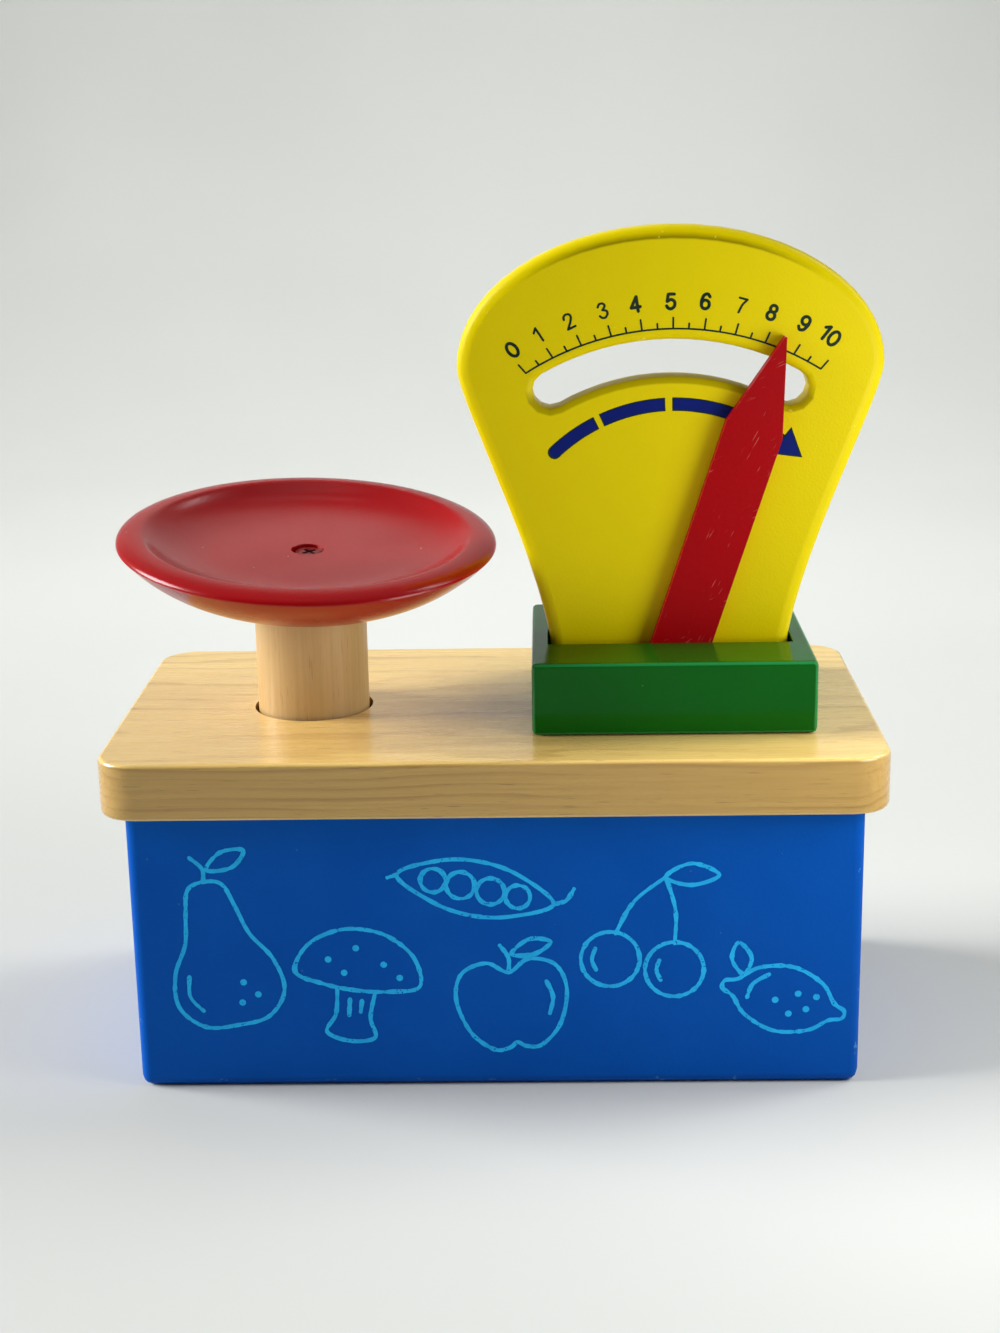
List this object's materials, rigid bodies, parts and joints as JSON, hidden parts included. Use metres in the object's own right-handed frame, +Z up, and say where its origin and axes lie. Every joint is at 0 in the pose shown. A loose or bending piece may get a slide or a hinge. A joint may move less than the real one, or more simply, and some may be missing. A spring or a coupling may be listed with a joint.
{
  "type": "toy kitchen scale",
  "caption": "Wooden toy kitchen scale: a red pan on a sliding sprung post swings a pointer across a yellow dial that stands in a green block on a boarded blue box.",
  "frame": {"origin": "on the floor, under the middle of the board, in the plane of the box's underside", "axes": "+X to the right from the pan towards the dial, +Y to the back, +Z up"},
  "size_m": [0.2015, 0.11, 0.2178],
  "materials": {
    "blue_paint": "satin blue paint over wood",
    "plain_wood": "clear varnish over pale wood",
    "red_paint": "gloss red paint over wood",
    "green_paint": "gloss green paint over wood",
    "yellow_paint": "satin yellow paint over wood",
    "inner_wood": "bare wood",
    "steel": "bright wire and screw steel"
  },
  "bodies": {
    "base": {"front_panel": "blue_paint", "rear_panel": "blue_paint", "left_end_panel": "blue_paint", "right_end_panel": "blue_paint", "bottom_panel": "inner_wood", "corner_block_1": "inner_wood", "corner_block_2": "inner_wood", "corner_block_3": "inner_wood", "corner_block_4": "inner_wood", "bottom_screw_1": "steel", "bottom_screw_2": "steel", "bottom_screw_3": "steel", "bottom_screw_4": "steel", "top_board": "plain_wood", "board_dowel_1": "inner_wood", "board_dowel_2": "inner_wood", "board_dowel_3": "inner_wood", "board_dowel_4": "inner_wood", "dial_block": "green_paint", "block_screw_1": "steel", "block_screw_2": "steel", "dial_plate": "yellow_paint", "pivot_pin": "steel", "spring_peg": "inner_wood", "peg_screw": "steel", "return_spring": "steel"},
    "weighing_pan": {"pan": "red_paint", "pan_screw": "steel", "post": "plain_wood", "drive_arm": "inner_wood", "arm_screw": "steel", "drive_yoke": "inner_wood", "yoke_screw_1": "steel", "yoke_screw_2": "steel"},
    "pointer_hand": {"pointer": "red_paint", "crank_pin": "steel"}
  },
  "joints": [
    {"name": "pan_slide", "type": "slide", "parent": "base", "child": "weighing_pan", "axis": [0, 0, 1], "range_m": [-0.00168, 0.01032], "stiffness_N_per_m": 87.7, "springref_m": 0.01032, "deforming": ["return_spring"]},
    {"name": "pointer_swing", "type": "hinge", "parent": "base", "child": "pointer_hand", "pos_m": [0.0465, -0.0125, 0.10085], "axis": [0, 1, 0], "range_deg": [-43.05, 7.05]}
  ],
  "couplings": [
    {"joint": "pointer_swing", "follows": "pan_slide", "rad_per_m": -72.722}
  ]
}
